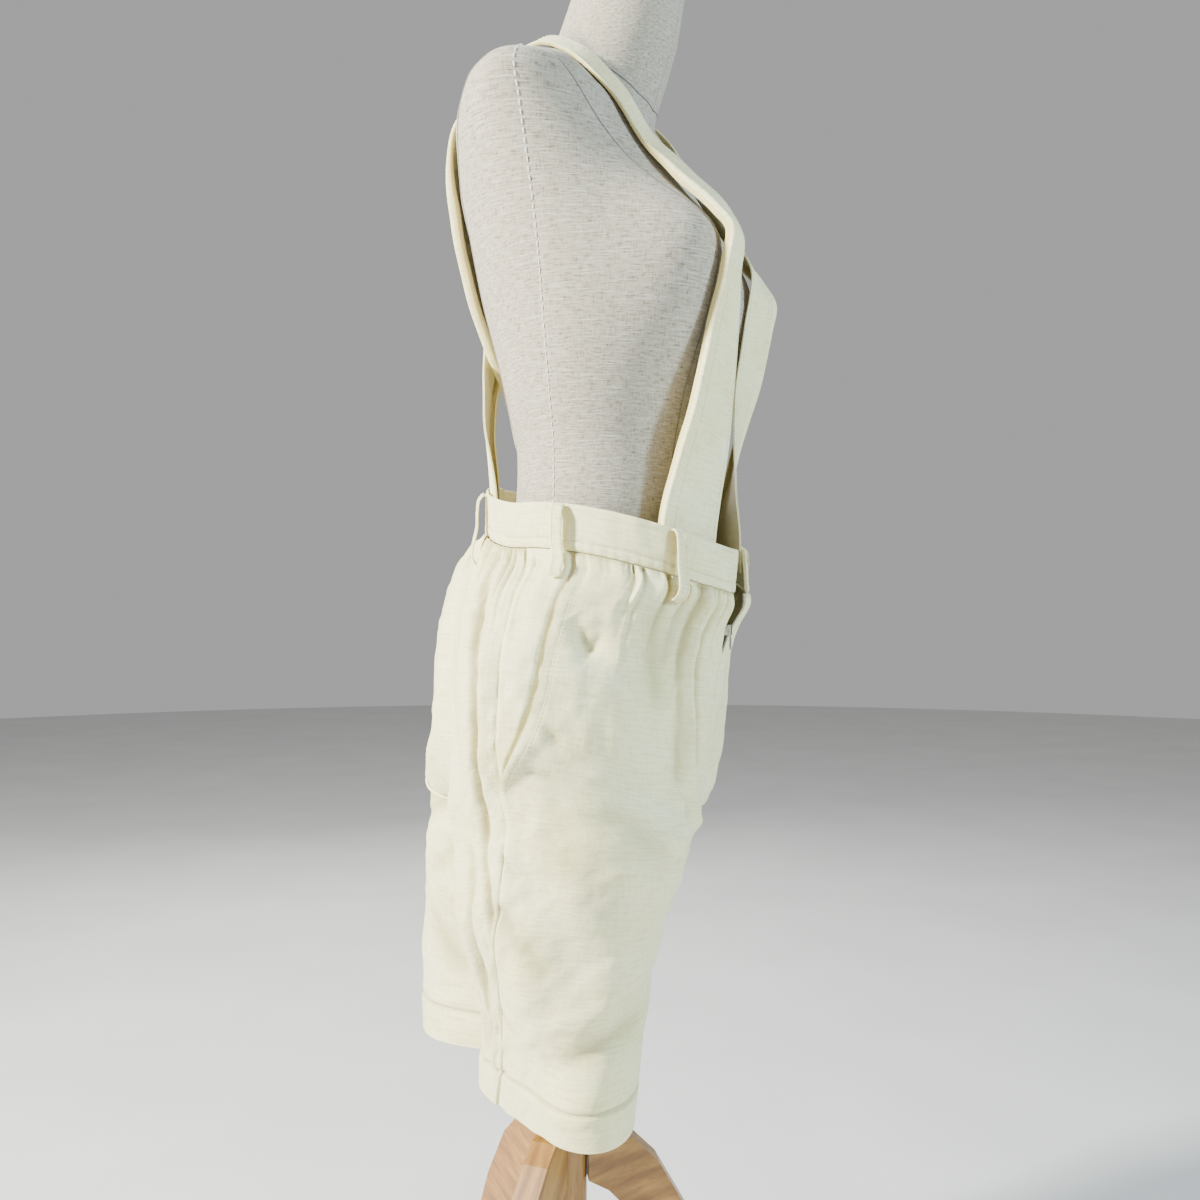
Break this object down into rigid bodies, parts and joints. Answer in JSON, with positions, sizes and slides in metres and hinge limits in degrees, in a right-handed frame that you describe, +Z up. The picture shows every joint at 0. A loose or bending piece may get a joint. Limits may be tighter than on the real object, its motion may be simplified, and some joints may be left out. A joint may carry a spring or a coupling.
{
  "type": "suspender shorts on a dress form",
  "caption": "Knee-length suspender shorts with gathered waist, belt loops, slant pockets and crossed wide straps, on a limbless linen dress form with a wooden stand.",
  "frame": {"origin": "on the floor, under the middle of the part's outline", "axes": "+Z up; the form faces -Y, and the wearer's right is -X"},
  "size_m": [0.479, 0.4859, 1.51],
  "materials": {
    "suiting": "fine cream twill, softly creased",
    "linen": "coarse unbleached linen",
    "oak": "clear satin varnish",
    "tape": "woven zip tape",
    "metal": "nickel plated"
  },
  "bodies": {
    "garment_and_form": {"front_right": "suiting", "back_right": "suiting", "front_left": "suiting", "back_left": "suiting", "pocket_side_right": "suiting", "pocket_side_left": "suiting", "zip_tape_right": "tape", "zip_tape_left": "tape", "waistband": "suiting", "belt_loop_front_right": "suiting", "belt_loop_side_right": "suiting", "belt_loop_back_right": "suiting", "belt_loop_front_left": "suiting", "belt_loop_side_left": "suiting", "belt_loop_back_left": "suiting", "back_welt_left": "suiting", "zip_slider": "metal", "waist_hook": "metal", "waist_bar": "metal", "strap_right": "suiting", "strap_left": "suiting", "form_torso": "linen", "form_post": "oak", "form_leg_back": "oak", "form_leg_side": "oak", "form_leg_front": "oak"},
    "zip_pull": {"zip_pull": "metal"}
  },
  "joints": [
    {"name": "zip_pull", "type": "hinge", "parent": "garment_and_form", "child": "zip_pull", "pos_m": [0.0348, -0.15118, 0.87834], "axis": [-1, 0, 0], "range_deg": [0, 120]}
  ]
}
